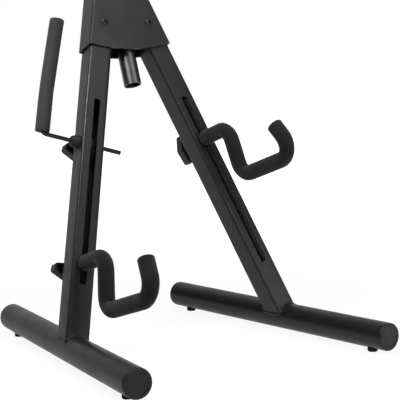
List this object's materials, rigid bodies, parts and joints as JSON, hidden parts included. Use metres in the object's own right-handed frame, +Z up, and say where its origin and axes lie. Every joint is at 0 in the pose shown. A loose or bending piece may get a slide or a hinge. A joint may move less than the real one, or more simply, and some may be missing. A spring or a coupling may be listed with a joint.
{
  "type": "guitar rack",
  "caption": "Folding A-frame guitar rack: slotted square legs on round feet, foam-covered cradles, a swinging side arm and a sliding neck rest above a pressed head.",
  "frame": {"origin": "on the floor, under the middle of the overall box", "axes": "+Z up, the cradles reach out to the front along -Y, the side arm is on the -X side"},
  "size_m": [0.427, 0.5086, 0.8475],
  "materials": {
    "leg_coat": "matte",
    "foot_coat": "satin",
    "neck_steel": "satin",
    "plain_steel": "satin",
    "black_rod": "satin",
    "black_plastic": "satin",
    "pad_rubber": "matte",
    "foam": "matte"
  },
  "bodies": {
    "head": {"head_front_shell": "leg_coat", "head_rear_shell": "leg_coat", "left_pivot_pin": "leg_coat", "right_pivot_pin": "leg_coat", "left_pivot_bush": "plain_steel", "right_pivot_bush": "plain_steel", "guide_sleeve": "leg_coat", "upper_guide_bush": "black_plastic", "lower_guide_bush": "black_plastic", "lock_nut": "plain_steel"},
    "left_leg": {"left_leg_tube": "leg_coat", "left_foot_tube": "foot_coat", "left_foot_front_cap": "black_plastic", "left_foot_rear_cap": "black_plastic", "left_front_pad": "pad_rubber", "left_rear_pad": "pad_rubber", "arm_inner_bush": "black_plastic", "arm_eye_bolt": "black_rod", "arm_washer": "plain_steel"},
    "left_slider": {"left_cradle_spacer": "black_plastic", "left_cradle_front_washer": "plain_steel", "left_cradle_rear_washer": "plain_steel"},
    "left_cradle": {"left_cradle_rod": "black_rod", "left_cradle_foam": "foam"},
    "left_clamp": {"left_cradle_knob": "black_plastic"},
    "right_leg": {"right_leg_tube": "leg_coat", "right_foot_tube": "foot_coat", "right_foot_front_cap": "black_plastic", "right_foot_rear_cap": "black_plastic", "right_front_pad": "pad_rubber", "right_rear_pad": "pad_rubber"},
    "right_slider": {"right_cradle_spacer": "black_plastic", "right_cradle_front_washer": "plain_steel", "right_cradle_rear_washer": "plain_steel"},
    "right_cradle": {"right_cradle_rod": "black_rod", "right_cradle_foam": "foam"},
    "right_clamp": {"right_cradle_knob": "black_plastic"},
    "arm_swivel": {"arm_collar": "black_plastic"},
    "side_arm": {"arm_rod": "black_rod", "arm_foam": "foam"},
    "arm_clamp": {"arm_knob": "black_plastic"},
    "neck_rest": {"neck_tube": "neck_steel", "yoke_stem": "black_plastic", "yoke_rod": "black_rod", "yoke_left_foam": "foam", "yoke_right_foam": "foam"},
    "neck_lock": {"neck_lock_screw": "plain_steel", "neck_knob": "black_plastic"}
  },
  "joints": [
    {"name": "left_leg_fold", "type": "hinge", "parent": "head", "child": "left_leg", "pos_m": [-0.0368, 0.10849, 0.44955], "axis": [0, -0.9397, 0.342], "range_deg": [0, 16.8]},
    {"name": "left_cradle_slide", "type": "slide", "parent": "left_leg", "child": "left_slider", "axis": [0.289, 0.3274, 0.8996], "range_m": [-0.0235, 0.125]},
    {"name": "left_cradle_twist", "type": "hinge", "parent": "left_slider", "child": "left_cradle", "pos_m": [-0.14097, -0.00952, 0.12534], "axis": [0, -0.9397, 0.342], "range_deg": [-24.4, 9.2]},
    {"name": "left_cradle_knob_turn", "type": "hinge", "parent": "left_cradle", "child": "left_clamp", "pos_m": [-0.14097, 0.00815, 0.11891], "axis": [0, 0.9397, -0.342], "continuous": true},
    {"name": "right_leg_fold", "type": "hinge", "parent": "head", "child": "right_leg", "pos_m": [0.0368, 0.10849, 0.44955], "axis": [0, 0.9397, -0.342], "range_deg": [0, 16.8]},
    {"name": "right_cradle_slide", "type": "slide", "parent": "right_leg", "child": "right_slider", "axis": [-0.289, 0.3274, 0.8996], "range_m": [-0.195, 0.0635]},
    {"name": "right_cradle_twist", "type": "hinge", "parent": "right_slider", "child": "right_cradle", "pos_m": [0.09134, 0.0467, 0.2798], "axis": [0, 0.9397, -0.342], "range_deg": [-25.6, 8]},
    {"name": "right_cradle_knob_turn", "type": "hinge", "parent": "right_cradle", "child": "right_clamp", "pos_m": [0.09134, 0.06437, 0.27337], "axis": [0, 0.9397, -0.342], "continuous": true},
    {"name": "arm_swing", "type": "hinge", "parent": "left_leg", "child": "arm_swivel", "pos_m": [-0.09013, 0.04808, 0.28358], "axis": [0.9573, -0.0989, -0.2716], "continuous": true},
    {"name": "arm_slide", "type": "slide", "parent": "arm_swivel", "child": "side_arm", "axis": [0.9573, -0.0989, -0.2716], "range_m": [-0.03, 0.007]},
    {"name": "arm_knob_turn", "type": "hinge", "parent": "left_leg", "child": "arm_clamp", "pos_m": [-0.09013, 0.06574, 0.27715], "axis": [0, 0.9397, -0.342], "continuous": true},
    {"name": "neck_slide", "type": "slide", "parent": "head", "child": "neck_rest", "axis": [0, 0.342, 0.9397], "range_m": [-0.085, 0.07]},
    {"name": "neck_knob_turn", "type": "hinge", "parent": "head", "child": "neck_lock", "pos_m": [0, 0.16109, 0.51661], "axis": [0, 0.9397, -0.342], "continuous": true}
  ]
}
